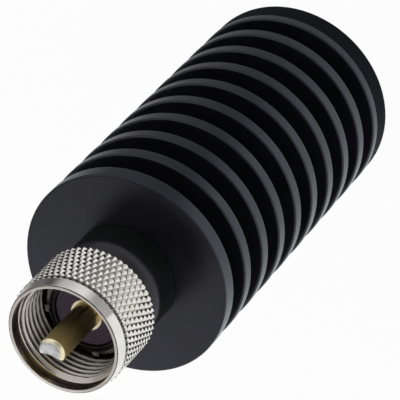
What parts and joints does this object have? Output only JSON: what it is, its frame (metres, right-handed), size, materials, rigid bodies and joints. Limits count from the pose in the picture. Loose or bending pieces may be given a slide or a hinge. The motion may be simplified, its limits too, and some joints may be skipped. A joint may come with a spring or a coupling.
{
  "type": "rf dummy load",
  "caption": "Finned cylindrical dummy load that ends a coaxial line in a resistor, with a plug, a knurled coupling nut and a solder-filled centre pin on its front.",
  "frame": {"origin": "centre of the flat rear face that the part stands on", "axes": "+Z along the axis from the rear face to the plug's pin; X and Y across it"},
  "size_m": [0.032, 0.032, 0.0826],
  "materials": {
    "sink_anodise": "black anodised, fine satin",
    "cap_black": "black, matt",
    "collar_black": "black, semi-gloss",
    "nickel": "bright nickel plate",
    "insulator_brown": "purple-brown, turned",
    "pin_gold": "gold plated",
    "solder": "tin solder",
    "copper": "bare wire",
    "bead_white": "white",
    "ceramic": "fired, matt",
    "ferrule_tin": "tinned",
    "thermal_grey": "filled silicone",
    "spring_bronze": "spring bronze"
  },
  "bodies": {
    "load": {"heat_sink": "sink_anodise", "end_cap": "cap_black", "collar": "collar_black", "plug_body": "nickel", "insulator": "insulator_brown", "centre_pin": "pin_gold", "pin_solder": "solder", "resistor_lead": "copper", "lead_bead": "bead_white", "resistor_core": "ceramic", "front_ferrule": "ferrule_tin", "rear_ferrule": "ferrule_tin", "thermal_sleeve": "thermal_grey", "ground_spring": "spring_bronze"},
    "nut": {"coupling_nut": "nickel"}
  },
  "joints": [
    {"name": "nut_spin", "type": "hinge", "parent": "load", "child": "nut", "pos_m": [0, 0, 0.0735], "axis": [0, 0, 1], "continuous": true}
  ]
}
